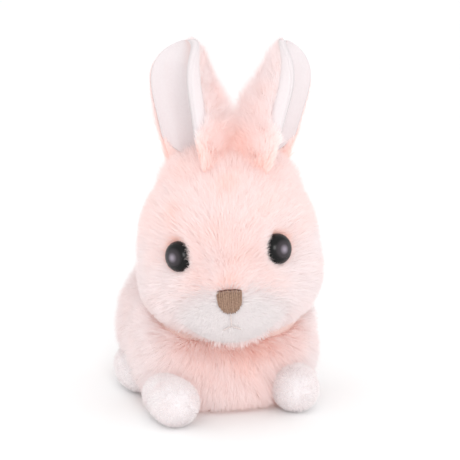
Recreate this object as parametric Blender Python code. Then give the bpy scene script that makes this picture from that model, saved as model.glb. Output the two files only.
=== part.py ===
"""A stuffed bunny rabbit that crouches on its belly, built from its sewn pieces.

Metres, +Z up. The bunny faces -Y and rests on z = 0. The origin is on the belly's flat
underside, below the shoulders. Its head is sewn on turned and tilted a little to one side.
"Left" and "right" are the bunny's own: its left is towards +X.

Every stuffed form is a few round lumps melted into one skin. Each skin is a thick shell cut
into the panels it is sewn from, with the stuffing as a separate solid inside.
"""

import math

import bmesh
import bpy
import numpy as np
from mathutils import Matrix, Vector

MM = 0.001

# Fabric and clearances
PILE = 3.0 * MM  # thickness of a fur panel, from its backing to the middle of its pile
PLUSH = 1.6 * MM  # thickness of the short white fabric of the paws, feet and tail
GAP = 0.3 * MM  # between pieces that touch
MELT = 3.2 * MM  # how softly two lumps run into each other
LIMB_MELT = 1.2 * MM  # the same for the lumps of a limb
ROOM_MELT = 0.4 * MM  # the same for the rooms that moving pieces swing in
SWING_ROOM = 1.8 * MM  # left round the paws and tail, because melting swells their forms
FAR = 200 * MM  # further than any surface is from the middle of its form
SKIN_DETAIL = 4  # subdivisions of the sphere a large outer skin is made from
INNER_DETAIL = 3  # the same for hollows, stuffing and small forms
BISECTIONS = 30
MAX_EXPONENT = 600  # keeps the melting sum within what a number can hold
TINY = 1e-300
LEVEL = 1e-6  # a direction that drops less than this never meets the floor

# Where the main forms are
HEAD_CENTRE = Vector((-1.2, -5.0, 65.2)) * MM
HEAD_YAW = math.radians(-16)  # the head looks a little to its own right
HEAD_ROLL = math.radians(-4.4)
NECK_POINT = Vector((0.0, -15.0, 30.5)) * MM  # where chin and chest meet
NECK_TILT = math.radians(26.7)  # how far the neck seam's normal leans forward
NECK_NORMAL = Vector((0, -math.sin(NECK_TILT), math.cos(NECK_TILT)))
BODY_CENTRE = Vector((0.0, 22.0, 24.0)) * MM

# Head panels
GUSSET_HALF = 11 * MM  # half the width of the strip that runs from nose to neck
EYE_RADIUS = 6.1 * MM
EYE_HEIGHT = 4.6 * MM  # of the dome above its flange
EYE_SINK = 1.2 * MM  # how deep the flange sits below the middle of the pile
EYE_FLANGE = 1.0 * MM
EYE_AZIMUTH = {"left": math.radians(38), "right": math.radians(-35.5)}
EYE_ELEVATION = math.radians(5)
SHANK_RADIUS = 1.3 * MM
SHANK_LENGTH = 9 * MM
WASHER_RADIUS = 5.5 * MM
WASHER_THICK = 1.2 * MM
NOSE_RADII = Vector((4.9, 1.7, 4.5)) * MM
NOSE_HEIGHT = -14 * MM  # the nose's middle, above the head's centre
NOSE_SINK = 0.4 * MM
MUZZLE_CENTRE = Vector((0, -31, -22)) * MM  # of the round patch that the muzzle is cut to
MUZZLE_RADII = Vector((22, 23, 13.5)) * MM
MOUTH_THREAD = 0.45 * MM  # radius of the stitched mouth line

# Ears
EAR_LENGTH = 46 * MM
EAR_HALF_WIDTH = 24 * MM  # measured round the cup
EAR_WIDEST = 0.36  # share of the length at which it is widest
EAR_BLUNTNESS = 3.6  # 2 gives a pointed oval tip, and more a rounder one
EAR_NARROWING = 0.06  # how much narrower the foot is than the widest place
EAR_TIP_WIDTH = 0.14  # the least the tip narrows to
EAR_BEND = 14 * MM  # radius of the cup at its foot
EAR_OPENING = 4 * MM  # how much larger that radius is at the tip
EAR_SET_BACK = 0.8  # how much of that radius the cup's back is moved forward by
EAR_CURL = 6 * MM  # how far the tip curls towards the opening
EAR_FUR = 2.4 * MM
EAR_LINING = 1.1 * MM

# Legs and tail
PAW_LIFT = math.radians(18)
PAW_RADII = Vector((9.3, 10.0, 9.2)) * MM
PAW_LENGTH = 34 * MM
FOOT_SOLE = 0.3 * MM  # the soles stop this far above the table
PAW_HINGE = 8 * MM  # the seam it swings on is this far behind its middle
HEEL_CUT = 13 * MM  # and its open end is this far
FOOT_CENTRE = Vector((34.0, 25.0, 9.2)) * MM
FOOT_RADII = Vector((8.6, 19.0, 9.2)) * MM
FOOT_OPENING = 0.62  # share of the foot's half width at which it is open to the body
TAIL_CENTRE = Vector((0.0, 68.0, 26.0)) * MM
TAIL_RADII = Vector((10.0, 8.5, 10.5)) * MM
TAIL_ROOT = Vector((0.0, 61.0, 26.0)) * MM
TAIL_OPENING = 0.72  # share of the tail's half depth at which it is open to the body
TAIL_WAG = math.radians(15)

# Base
PELLET_RADII = Vector((22, 24, 9)) * MM
PELLET_CENTRE = Vector((0.0, 24.0, 14.0)) * MM
PELLET_WAY = 3 * MM  # half the width of the gap in the stuffing below the pouch
BELLY_HEIGHT = 7 * MM  # the belly panel turns up the sides this far


def ball(x, y, z, rx, ry, rz):
    """One lump of stuffing: its centre and its radii, in millimetres."""
    return np.array([x, y, z]) * MM, np.array([rx, ry, rz]) * MM


def both_sides(x, y, z, rx, ry, rz):
    return [ball(x, y, z, rx, ry, rz), ball(-x, y, z, rx, ry, rz)]


HEAD_LUMPS = [
    ball(0, 3, 5, 33, 30, 31),  # skull
    ball(0, -8, 5, 24, 24, 25),  # forehead
    *both_sides(14, -2, -11, 20, 22, 19),  # cheeks
    *both_sides(7, -24, -20, 11, 10, 9),  # muzzle
    ball(0, -23, -12, 8, 11, 11),  # bridge of the nose
    ball(0, -18, -26, 10, 10, 7),  # chin
]
BODY_LUMPS = [
    ball(0, 3, 18, 31, 20, 20),  # chest
    ball(0, -3, 9, 23, 17, 10),  # foot of the chest
    *both_sides(17, 7, 21, 18, 19, 22),  # shoulders
    ball(0, 20, 23, 34, 30, 27),  # belly
    ball(0, 36, 27, 34, 26, 29),  # rump
    *both_sides(17, 33, 27, 18, 22, 24),  # haunches
    ball(0, 2, 35, 25, 18, 12),  # neck
]


# ---------------------------------------------------------------- making objects


def clear_scene():
    for obj in list(bpy.data.objects):
        bpy.data.objects.remove(obj)


def finish_for(name, colour, roughness, metallic=0.0):
    made = bpy.data.materials.new(name)
    made.use_nodes = True
    shader = made.node_tree.nodes["Principled BSDF"]
    shader.inputs["Base Color"].default_value = (*colour, 1)
    shader.inputs["Roughness"].default_value = roughness
    shader.inputs["Metallic"].default_value = metallic
    return made


def pivot(name, place, turn=None, parent=None):
    """An empty on a joint's axis. Its place and turn are in its parent's frame."""
    empty = bpy.data.objects.new(name, None)
    bpy.context.scene.collection.objects.link(empty)
    empty.parent = parent
    empty.matrix_basis = Matrix.Translation(place) @ (turn or Matrix.Identity(4))
    return empty


def add(name, bm, material=None, parent=None, helper=False):
    """Makes an object of a bmesh, whose points are in the parent's frame."""
    bmesh.ops.recalc_face_normals(bm, faces=bm.faces)
    mesh = bpy.data.meshes.new(name)
    bm.to_mesh(mesh)
    bm.free()
    mesh.shade_smooth()
    obj = bpy.data.objects.new(name, mesh)
    bpy.context.scene.collection.objects.link(obj)
    obj.parent = parent
    if material:
        mesh.materials.append(material)
    if helper:
        obj.hide_render = True
        obj.display_type = "WIRE"
    return obj


def boolean(obj, operation, other):
    modifier = obj.modifiers.new(f"{operation.lower()} {other.name}", "BOOLEAN")
    modifier.operation = operation
    modifier.object = other


def cut(obj, *cutters):
    for cutter in cutters:
        boolean(obj, "DIFFERENCE", cutter)


def keep(obj, *regions):
    for region in regions:
        boolean(obj, "INTERSECT", region)


# ---------------------------------------------------------------- stuffed forms


def depth(points, lumps, melt=MELT):
    """Below zero inside the melted lumps, and about the distance to them outside."""
    total = 0
    for centre, radii in lumps:
        share = np.linalg.norm((points - centre) / radii, axis=-1) - 1
        total = total + np.exp(np.minimum(-share * radii.min() / melt, MAX_EXPONENT))
    return -melt * np.log(total + TINY)


def reach(directions, middle, lumps, melt=MELT):
    """How far the melted lumps reach from the middle along each direction."""
    low = np.zeros(len(directions))
    high = np.full(len(directions), FAR)
    for _ in range(BISECTIONS):
        half = (low + high) / 2
        inside = depth(middle + directions * half[:, None], lumps, melt) < 0
        low = np.where(inside, half, low)
        high = np.where(inside, high, half)
    return low


def form(lumps, middle, inset=0.0, floor=None, detail=INNER_DETAIL, melt=MELT):
    """The skin of some lumps as a bmesh, taken in by inset, and flat where it meets floor."""
    bm = bmesh.new()
    bmesh.ops.create_icosphere(bm, subdivisions=detail, radius=1)
    directions = np.array([v.co.normalized() for v in bm.verts])
    middle = np.array(middle)
    lengths = reach(directions, middle, lumps, melt) - inset
    if floor is not None:
        down = np.minimum(directions[:, 2], -LEVEL)
        lengths = np.minimum(lengths, (floor + inset - middle[2]) / down)
    for vertex, place in zip(bm.verts, middle + directions * lengths[:, None]):
        vertex.co = place
    return bm


def ellipsoid(centre, radii, detail=INNER_DETAIL):
    bm = bmesh.new()
    bmesh.ops.create_icosphere(bm, subdivisions=detail, radius=1)
    bmesh.ops.transform(bm, matrix=Matrix.LocRotScale(centre, None, radii), verts=bm.verts)
    return bm


def block(low, high):
    bm = bmesh.new()
    bmesh.ops.create_cube(bm, size=1)
    low, high = Vector(low), Vector(high)
    bmesh.ops.transform(
        bm, matrix=Matrix.LocRotScale((low + high) / 2, None, high - low), verts=bm.verts
    )
    return bm


def disc(radius, low, high, sides=20):
    """A cylinder on the Z axis."""
    bm = bmesh.new()
    bmesh.ops.create_cone(
        bm, cap_ends=True, segments=sides, radius1=radius, radius2=radius,
        depth=high - low, matrix=Matrix.Translation((0, 0, (low + high) / 2)),
    )
    return bm


def half_space(name, point, normal, parent=None):
    """A large block that lies on the far side of a plane, along its normal."""
    turn = Vector(normal).to_track_quat("Z", "Y").to_matrix().to_4x4()
    bm = block((-FAR, -FAR, 0), (FAR, FAR, FAR))
    bmesh.ops.transform(bm, matrix=Matrix.Translation(point) @ turn, verts=bm.verts)
    return add(name, bm, parent=parent, helper=True)


# ---------------------------------------------------------------- head


def head_surface(direction):
    """The point of the head's skin in this direction from its centre, in the head's frame."""
    direction = np.array(Vector(direction).normalized())
    return Vector(direction * reach(direction[None], np.zeros(3), HEAD_LUMPS)[0])


def surface_at_height(x, z):
    """The point on the front of the head's skin at this x and z."""
    near, far = 0.0, FAR
    for _ in range(BISECTIONS):
        half = (near + far) / 2
        if depth(np.array([[x, -half, z]]), HEAD_LUMPS)[0] < 0:
            near = half
        else:
            far = half
    return Vector((x, -near, z))


def eye_frame(name):
    """The eye's place on the skin, with its own +Z out along its axis."""
    azimuth, flat = EYE_AZIMUTH[name], math.cos(EYE_ELEVATION)
    out = Vector((math.sin(azimuth) * flat, -math.cos(azimuth) * flat, math.sin(EYE_ELEVATION)))
    turn = out.to_track_quat("Z", "Y").to_matrix().to_4x4()
    return Matrix.Translation(head_surface(out) - out * EYE_SINK) @ turn


def eye_solid():
    """A domed eye on its flange with the shank that goes through the fabric, turned on +Z."""
    bm = bmesh.new()
    dome = [
        (EYE_RADIUS * math.cos(a), EYE_FLANGE + EYE_HEIGHT * math.sin(a))
        for a in np.linspace(0, math.pi / 2, 6)[:-1]
    ]
    profile = [
        (0, -SHANK_LENGTH), (SHANK_RADIUS, -SHANK_LENGTH), (SHANK_RADIUS, 0), (EYE_RADIUS, 0),
        *dome, (0, EYE_FLANGE + EYE_HEIGHT),
    ]
    line = [bm.verts.new((r, 0, z)) for r, z in profile]
    edges = [bm.edges.new(pair) for pair in zip(line, line[1:])]
    bmesh.ops.spin(
        bm, geom=line + edges, cent=(0, 0, 0), axis=(0, 0, 1), angle=2 * math.pi, steps=18
    )
    bmesh.ops.remove_doubles(bm, verts=bm.verts, dist=GAP / 10)
    return bm


def add_eye(name, panel, stuffing, plastic, washer_plastic, head):
    """One eye with its lock washer, and the holes for both in the panel and the stuffing."""
    frame = eye_frame(name)
    inside = -(PILE - EYE_SINK) - GAP  # the inner face of the panel, in the eye's frame
    washer_low = inside - WASHER_THICK

    def placed(bm, label, material=None, helper=False):
        bmesh.ops.transform(bm, matrix=frame, verts=bm.verts)
        return add(label, bm, material, head, helper)

    placed(eye_solid(), f"eye_{name}", plastic)
    washer = placed(disc(WASHER_RADIUS, washer_low - GAP, inside - GAP), f"eye_washer_{name}",
                    washer_plastic)
    hole = placed(disc(SHANK_RADIUS + GAP, -SHANK_LENGTH - GAP, EYE_HEIGHT),
                  f"cut_shank_{name}", helper=True)
    pocket = placed(disc(EYE_RADIUS + GAP, -GAP, 3 * EYE_HEIGHT),
                    f"cut_eye_{name}", helper=True)
    seat = placed(disc(WASHER_RADIUS + GAP, washer_low - 2 * GAP, inside),
                  f"cut_washer_seat_{name}", helper=True)
    room = placed(disc(WASHER_RADIUS + 2 * GAP, washer_low - 2 * GAP, EYE_HEIGHT),
                  f"cut_washer_{name}", helper=True)
    cut(washer, hole)
    cut(panel, hole, pocket, seat)
    cut(stuffing, hole, room)


def rod(points, radius, sides=6):
    """A thread through the points, whose ends are flat."""
    bm = bmesh.new()
    rings = []
    for point, ahead, behind in zip(points, points[1:] + points[-1:], points[:1] + points):
        turn = (ahead - behind).to_track_quat("Z", "Y")
        spokes = [2 * math.pi * i / sides for i in range(sides)]
        around = [Vector((math.cos(a), math.sin(a), 0)) * radius for a in spokes]
        rings.append([bm.verts.new(point + turn @ spoke) for spoke in around])
    for low, high in zip(rings, rings[1:]):
        for i in range(sides):
            j = (i + 1) % sides
            bm.faces.new((low[i], low[j], high[j], high[i]))
    bm.faces.new(rings[0])
    bm.faces.new(rings[-1])
    return bm


def mouth_line(head, thread):
    """The stitched line under the nose, with a short stitch to each side of its foot."""
    foot = NOSE_HEIGHT - NOSE_RADII.z - 5.2 * MM
    top = NOSE_HEIGHT - NOSE_RADII.z - 0.8 * MM
    side = 3.2 * MM
    strokes = {
        "mouth_stitch_centre": [(0, top), (0, (top + foot) / 2), (0, foot)],
        "mouth_stitch_left": [(1.1 * MM, foot - 0.3 * MM), (side, foot - 1.3 * MM)],
        "mouth_stitch_right": [(-1.1 * MM, foot - 0.3 * MM), (-side, foot - 1.3 * MM)],
    }
    lift = Vector((0, MOUTH_THREAD + GAP, 0))
    for name, points in strokes.items():
        line = [surface_at_height(x, z) - lift for x, z in points]
        add(name, rod(line, MOUTH_THREAD), thread, head)


def build_head(looks):
    turn = Matrix.Rotation(HEAD_YAW, 4, "Z") @ Matrix.Rotation(HEAD_ROLL, 4, "Y")
    head = pivot("head_pivot", HEAD_CENTRE, turn)
    under_neck = half_space("cut_below_neck", NECK_POINT + NECK_NORMAL * GAP, -NECK_NORMAL)
    hollow = add("cut_head_hollow", form(HEAD_LUMPS, (0, 0, 0), PILE), parent=head, helper=True)

    stuffing = add("head_stuffing", form(HEAD_LUMPS, (0, 0, 0), PILE + GAP), looks["fibre"], head)
    cut(stuffing, under_neck)

    strip = add("cut_gusset_strip", block((-GUSSET_HALF, -FAR, -FAR), (GUSSET_HALF, FAR, FAR)),
                parent=head, helper=True)
    strip_room = add(
        "cut_gusset_room",
        block((-GUSSET_HALF - GAP, -FAR, -FAR), (GUSSET_HALF + GAP, FAR, FAR)),
        parent=head, helper=True,
    )
    patch = add("cut_muzzle_patch", ellipsoid(MUZZLE_CENTRE, MUZZLE_RADII), parent=head,
                helper=True)
    patch_room = add(
        "cut_muzzle_room", ellipsoid(MUZZLE_CENTRE, MUZZLE_RADII + Vector((GAP, GAP, GAP))),
        parent=head, helper=True,
    )
    nose_place = surface_at_height(0, NOSE_HEIGHT) + Vector((0, NOSE_SINK, 0))
    add("nose_embroidery", ellipsoid(nose_place, NOSE_RADII), looks["thread"], head)
    nose_room = add(
        "cut_nose", ellipsoid(nose_place, NOSE_RADII + Vector((GAP, GAP, GAP)) * 1.3),
        parent=head, helper=True,
    )

    def panel(name, look):
        obj = add(name, form(HEAD_LUMPS, (0, 0, 0), detail=SKIN_DETAIL), look, head)
        cut(obj, hollow)
        return obj

    gusset = panel("head_gusset", looks["pink"])
    keep(gusset, strip)
    cut(gusset, under_neck, patch_room, nose_room)

    for name, side in (("left", 1), ("right", -1)):
        outward = half_space(f"cut_{name}_side", (0, 0, 0), (side, 0, 0), head)
        cheek = panel(f"head_side_{name}", looks["pink"])
        keep(cheek, outward)
        cut(cheek, strip_room, under_neck, patch_room)
        add_eye(name, cheek, stuffing, looks["eye"], looks["washer"], head)

        beyond = half_space(f"cut_{name}_muzzle", (side * GAP / 2, 0, 0), (side, 0, 0), head)
        muzzle = panel(f"muzzle_{name}", looks["white"])
        keep(muzzle, patch, beyond)
        cut(muzzle, under_neck, nose_room)
    mouth_line(head, looks["thread"])
    return head


# ---------------------------------------------------------------- ears


def ear_width(v):
    """Half the ear's width at a share v of its length, as a share of the widest."""
    if v > EAR_WIDEST:
        rest = (v - EAR_WIDEST) / (1 - EAR_WIDEST)
        return math.sqrt(max(EAR_TIP_WIDTH ** 2, 1 - rest ** EAR_BLUNTNESS))
    return 1 - EAR_NARROWING * ((EAR_WIDEST - v) / EAR_WIDEST) ** 2


def ear_layer(inner, outer, rows=10, columns=6):
    """A cupped leaf that opens to -Y, from offset inner to offset outer behind the cup."""
    bm = bmesh.new()

    def point(i, j, offset):
        v = math.sin(math.pi / 2 * i / rows)
        bend = EAR_BEND + EAR_OPENING * v
        angle = EAR_HALF_WIDTH * ear_width(v) * (2 * j / columns - 1) / bend
        return Vector((
            (bend + offset) * math.sin(angle),
            (bend + offset) * math.cos(angle) - EAR_SET_BACK * bend - EAR_CURL * v * v,
            EAR_LENGTH * v,
        ))

    sheets = [
        [[bm.verts.new(point(i, j, offset)) for j in range(columns + 1)] for i in range(rows + 1)]
        for offset in (inner, outer)
    ]
    for sheet in sheets:
        for i in range(rows):
            for j in range(columns):
                bm.faces.new(
                    (sheet[i][j], sheet[i][j + 1], sheet[i + 1][j + 1], sheet[i + 1][j])
                )
    rim = [(i, 0) for i in range(rows)] + [(rows, j) for j in range(columns)]
    rim += [(i, columns) for i in range(rows, 0, -1)] + [(0, j) for j in range(columns, 0, -1)]
    for (a, b), (c, d) in zip(rim, rim[1:] + rim[:1]):
        bm.faces.new((sheets[0][a][b], sheets[0][c][d], sheets[1][c][d], sheets[1][a][b]))
    return bm


EARS = {
    # name: (place of its foot on the head, lean outwards, turn of its opening outwards)
    "left": (Vector((12.5, 3.0, 38.0)) * MM, math.radians(18), math.radians(76)),
    "right": (Vector((-5.0, 3.0, 38.5)) * MM, math.radians(4), math.radians(60)),
}


def build_ears(head, looks):
    for name, (foot, lean, opening) in EARS.items():
        side = 1 if name == "left" else -1
        turn = Matrix.Rotation(side * lean, 4, "Y") @ Matrix.Rotation(side * opening, 4, "Z")
        hinge = pivot(f"ear_{name}_pivot", foot, turn, head)
        add(f"ear_{name}_fur", ear_layer(GAP, GAP + EAR_FUR), looks["pink"], hinge)
        add(f"ear_{name}_lining", ear_layer(-EAR_LINING, 0), looks["white"], hinge)


# ---------------------------------------------------------------- body


def build_body(looks):
    over_neck = half_space("cut_above_neck", NECK_POINT - NECK_NORMAL * GAP, NECK_NORMAL)
    hollow = add("cut_body_hollow", form(BODY_LUMPS, BODY_CENTRE, PILE, floor=0), helper=True)
    stuffing = add(
        "body_stuffing", form(BODY_LUMPS, BODY_CENTRE, PILE + GAP, floor=0), looks["fibre"]
    )
    pouch = ellipsoid(PELLET_CENTRE, PELLET_RADII)
    add("pellet_pouch", pouch, looks["pouch"])
    pouch_room = add(
        "cut_pouch", ellipsoid(PELLET_CENTRE, PELLET_RADII + Vector((GAP, GAP, GAP)) * 2),
        helper=True,
    )
    pouch_way = add(
        "cut_pouch_way", block((-PELLET_WAY, PELLET_CENTRE.y - PELLET_WAY, 0),
                               (PELLET_WAY, PELLET_CENTRE.y + PELLET_WAY, PELLET_CENTRE.z)),
        helper=True,
    )
    cut(stuffing, over_neck, pouch_room, pouch_way)

    low = add("cut_belly", block((-FAR, -FAR, -FAR), (FAR, FAR, BELLY_HEIGHT)), helper=True)
    low_room = add("cut_belly_room", block((-FAR, -FAR, -FAR), (FAR, FAR, BELLY_HEIGHT + GAP)),
                   helper=True)

    def panel(name):
        skin = form(BODY_LUMPS, BODY_CENTRE, floor=0, detail=SKIN_DETAIL)
        obj = add(name, skin, looks["pink"])
        cut(obj, hollow)
        return obj

    belly = panel("belly_panel")
    keep(belly, low)
    sides = {}
    for name, side in (("left", 1), ("right", -1)):
        half = half_space(f"cut_body_{name}", (side * GAP / 2, 0, 0), (side, 0, 0))
        sides[name] = panel(f"body_side_{name}")
        keep(sides[name], half)
        cut(sides[name], low_room, over_neck)
    return {"belly": belly, "stuffing": stuffing, **sides}


def limb(name, lumps, middle, open_at, open_normal, parent, looks):
    """A stuffed limb: a skin that is open where it is sewn on, and its stuffing."""
    def layer(inset):
        return form(lumps, middle, inset, floor=FOOT_SOLE, melt=LIMB_MELT)

    skin = add(f"{name}_skin", layer(0), looks["white"], parent)
    hollow = add(f"cut_{name}_hollow", layer(PLUSH), parent=parent, helper=True)
    fill = add(f"{name}_stuffing", layer(PLUSH + GAP), looks["fibre"], parent)
    opening = half_space(f"cut_{name}_opening", open_at, open_normal, parent)
    cut(skin, hollow, opening)
    cut(fill, opening)


PAWS = {
    # name: (middle of the paw on the table, toe turned towards the middle)
    "left": (Vector((23.5, -16.0, 0.0)) * MM, math.radians(-12)),
    "right": (Vector((-30.0, -22.5, 0.0)) * MM, math.radians(6)),
}


def paw_lumps():
    half = (PAW_LENGTH / 2 - PAW_RADII.y) / MM
    rx, ry, rz = (r / MM for r in PAW_RADII)
    return [
        ball(0, -half, rz, rx, ry, rz),
        ball(0, 0, rz * 0.97, rx * 0.94, ry, rz * 0.94),
        ball(0, half, rz * 0.95, rx * 0.9, ry, rz * 0.9),
    ]


def swung(lumps, point, axis, angles, grow):
    """The lumps at each angle round an axis through a point, and a little larger."""
    copies = []
    for angle in angles:
        turn = np.array(Matrix.Rotation(angle, 3, axis))
        for centre, radii in lumps:
            copies.append((turn @ (centre - np.array(point)) + np.array(point), radii + grow))
    return copies


def build_paws(body, looks):
    """The front paws. Each is hinged at its sewn end, which sits in a hollow of the body."""
    middle = (0, 0, PAW_RADII.z)
    for name, (place, toe_in) in PAWS.items():
        axis_point = Vector((0, PAW_HINGE, PAW_RADII.z))
        turn = Matrix.Rotation(toe_in, 4, "Z")
        paw = pivot(f"paw_{name}_pivot", place + turn @ axis_point, turn)
        holder = pivot(f"paw_{name}_frame", -axis_point, parent=paw)
        limb(f"front_paw_{name}", paw_lumps(), middle, (0, HEEL_CUT, 0), (0, 1, 0), holder, looks)
        lifts = [-PAW_LIFT * step / 4 for step in range(5)]
        lumps = swung(paw_lumps(), axis_point, "X", lifts, SWING_ROOM)
        room = add(f"cut_paw_{name}", form(lumps, middle, melt=ROOM_MELT), parent=holder,
                   helper=True)
        for piece in (body[name], body["belly"], body["stuffing"]):
            cut(piece, room)


def build_feet(body, looks):
    """The hind feet, sewn along the body's sides."""
    for name, side in (("left", 1), ("right", -1)):
        centre = Vector((side * FOOT_CENTRE.x, FOOT_CENTRE.y, FOOT_CENTRE.z))
        lumps = [(np.array(centre), np.array(FOOT_RADII))]
        room = add(f"cut_foot_{name}",
                   ellipsoid(centre, FOOT_RADII + Vector((GAP, GAP, GAP)) * 2),
                   helper=True)
        for piece in (body[name], body["belly"], body["stuffing"]):
            cut(piece, room)
        inner = (centre.x - side * FOOT_OPENING * FOOT_RADII.x, 0, 0)
        limb(f"hind_foot_{name}", lumps, centre, inner, (-side, 0, 0), None, looks)


def build_tail(body, looks):
    """A stuffed tail that hangs on its seam."""
    tail = pivot("tail_pivot", TAIL_ROOT)
    centre = TAIL_CENTRE - TAIL_ROOT
    tail_lumps = [(np.array(centre), np.array(TAIL_RADII))]
    open_at = (0, centre.y - TAIL_OPENING * TAIL_RADII.y, 0)
    opening = half_space("cut_tail_opening", open_at, (0, -1, 0), tail)
    skin = add("tail_skin", form(tail_lumps, centre), looks["white"], tail)
    hollow = add("cut_tail_hollow", form(tail_lumps, centre, PLUSH), parent=tail, helper=True)
    fill = add("tail_stuffing", form(tail_lumps, centre, PLUSH + GAP), looks["fibre"], tail)
    cut(skin, hollow, opening)
    cut(fill, opening)
    wags = [TAIL_WAG * step / 2 for step in range(-2, 3)]
    lumps = swung(tail_lumps, (0, 0, 0), "Z", wags, SWING_ROOM)
    room = add("cut_tail", form(lumps, centre, melt=ROOM_MELT), parent=tail, helper=True)
    for name in ("left", "right", "stuffing"):
        cut(body[name], room)


def build():
    clear_scene()
    looks = {
        "pink": finish_for("pink_fur", (0.93, 0.60, 0.54), 0.95),
        "white": finish_for("white_plush", (0.88, 0.83, 0.83), 0.95),
        "fibre": finish_for("polyester_fibre", (0.90, 0.90, 0.88), 1.0),
        "pouch": finish_for("pellet_cotton", (0.75, 0.72, 0.66), 0.9),
        "thread": finish_for("brown_thread", (0.42, 0.26, 0.18), 0.7),
        "eye": finish_for("eye_plastic", (0.012, 0.010, 0.012), 0.08),
        "washer": finish_for("washer_plastic", (0.80, 0.80, 0.78), 0.4),
    }
    head = build_head(looks)
    build_ears(head, looks)
    body = build_body(looks)
    build_paws(body, looks)
    build_feet(body, looks)
    build_tail(body, looks)
    bpy.context.view_layer.update()


build()
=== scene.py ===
"""The stuffed bunny as the eye sees it: long pink fur, short white plush, glossy eyes and a
stitched nose, on a pale floor in soft studio light.

Each form's skin is worked out from the same round lumps as its solid, and carries a pile of
tapered hairs. Lengths are in metres, the bunny faces -Y, and +X is its own left.
"""

import math

import bmesh
import bpy
import numpy as np
from mathutils import Matrix, Vector


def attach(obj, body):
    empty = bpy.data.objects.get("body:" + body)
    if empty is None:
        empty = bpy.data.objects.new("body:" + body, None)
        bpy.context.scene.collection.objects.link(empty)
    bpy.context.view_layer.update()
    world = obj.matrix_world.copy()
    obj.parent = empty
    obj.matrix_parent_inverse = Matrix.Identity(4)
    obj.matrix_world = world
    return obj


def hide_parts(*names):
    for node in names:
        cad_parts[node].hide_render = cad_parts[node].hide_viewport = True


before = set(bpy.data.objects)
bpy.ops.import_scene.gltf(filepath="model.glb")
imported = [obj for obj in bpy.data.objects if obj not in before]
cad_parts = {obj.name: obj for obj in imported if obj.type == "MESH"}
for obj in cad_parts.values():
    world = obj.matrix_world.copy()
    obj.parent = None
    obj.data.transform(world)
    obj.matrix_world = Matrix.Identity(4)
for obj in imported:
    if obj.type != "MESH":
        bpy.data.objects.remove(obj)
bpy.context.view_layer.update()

MM = 0.001
SEED = 11

# Forms, the same as the solids but for the white patch
MELT = 3.2 * MM  # how softly two lumps run into each other
LIMB_MELT = 1.2 * MM  # the same for the lumps of a limb
FAR = 200 * MM  # further than any surface is from the middle of its form
BISECTIONS = 30
MAX_EXPONENT = 600
TINY = 1e-300
NECK_POINT = np.array([0.0, -15.0, 30.5]) * MM
NECK_TILT = math.radians(26.7)
NECK_NORMAL = np.array([0, -math.sin(NECK_TILT), math.cos(NECK_TILT)])
HEAD_FRAME = (
    Matrix.Translation(Vector((-1.2, -5.0, 65.2)) * MM)
    @ Matrix.Rotation(math.radians(-16), 4, "Z")
    @ Matrix.Rotation(math.radians(-4.4), 4, "Y")
)
BODY_CENTRE = np.array([0.0, 22.0, 24.0]) * MM
# The white patch, a little smaller and lower than the one that the solids are cut to
MUZZLE_CENTRE = np.array([0.0, -31.0, -24.0]) * MM
MUZZLE_RADII = np.array([20.5, 23.0, 12.0]) * MM
MUZZLE_EDGE = 0.16  # how far white and pink hairs mix at the edge of the patch
NOSE_HEIGHT = -14 * MM  # the nose's middle, above the head's centre
NOSE_HALF_WIDTH = 4.5 * MM
NOSE_HALF_HEIGHT = 4.6 * MM
EYE_RADIUS = 6.1 * MM
EYE_HEIGHT = 4.6 * MM
EYE_SINK = 1.2 * MM
EYE_FLANGE = 1.0 * MM
EYE_AZIMUTH = {"left": math.radians(38), "right": math.radians(-35.5)}
EYE_ELEVATION = math.radians(5)
EAR_LENGTH = 46 * MM
EAR_HALF_WIDTH = 24 * MM  # measured round the cup
EAR_WIDEST = 0.36  # share of the length at which it is widest
EAR_BLUNTNESS = 3.6  # 2 gives a pointed oval tip, and more a rounder one
EAR_NARROWING = 0.06  # how much narrower the foot is than the widest place
EAR_TIP_WIDTH = 0.14  # the least the tip narrows to
EAR_LINING = 1.1 * MM
EAR_BEND = 14 * MM  # radius of the cup at its foot
EAR_OPENING = 4 * MM  # how much larger that radius is at the tip
EAR_SET_BACK = 0.8  # how much of that radius the cup's back is moved forward by
EAR_CURL = 6 * MM  # how far the tip curls towards the opening
GROOVE = 0.45  # where across the ear the fold of its lining is, towards the front edge
LIP_START = 0.78  # where across the ear the lining's rolled front edge starts
EARS = {
    # name: (its foot on the head, lean outwards, turn of its opening outwards)
    "left": (Vector((12.5, 3.0, 38.0)) * MM, math.radians(18), math.radians(76)),
    "right": (Vector((-5.0, 3.0, 38.5)) * MM, math.radians(4), math.radians(60)),
}
PAWS = {
    # name: (the place under its middle, how far it is turned)
    "left": (Vector((23.5, -16.0, 0.0)) * MM, math.radians(-12)),
    "right": (Vector((-30.0, -22.5, 0.0)) * MM, math.radians(6)),
}
# In millimetres, as ball takes them
PAW_RADII = (9.3, 10.0, 9.2)
PAW_LENGTH = 34
FOOT_CENTRE = (34.0, 25.0, 9.2)
FOOT_RADII = (8.6, 19.0, 9.2)
TAIL_CENTRE = (0.0, 68.0, 26.0)
TAIL_RADII = (10.0, 8.5, 10.5)

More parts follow.
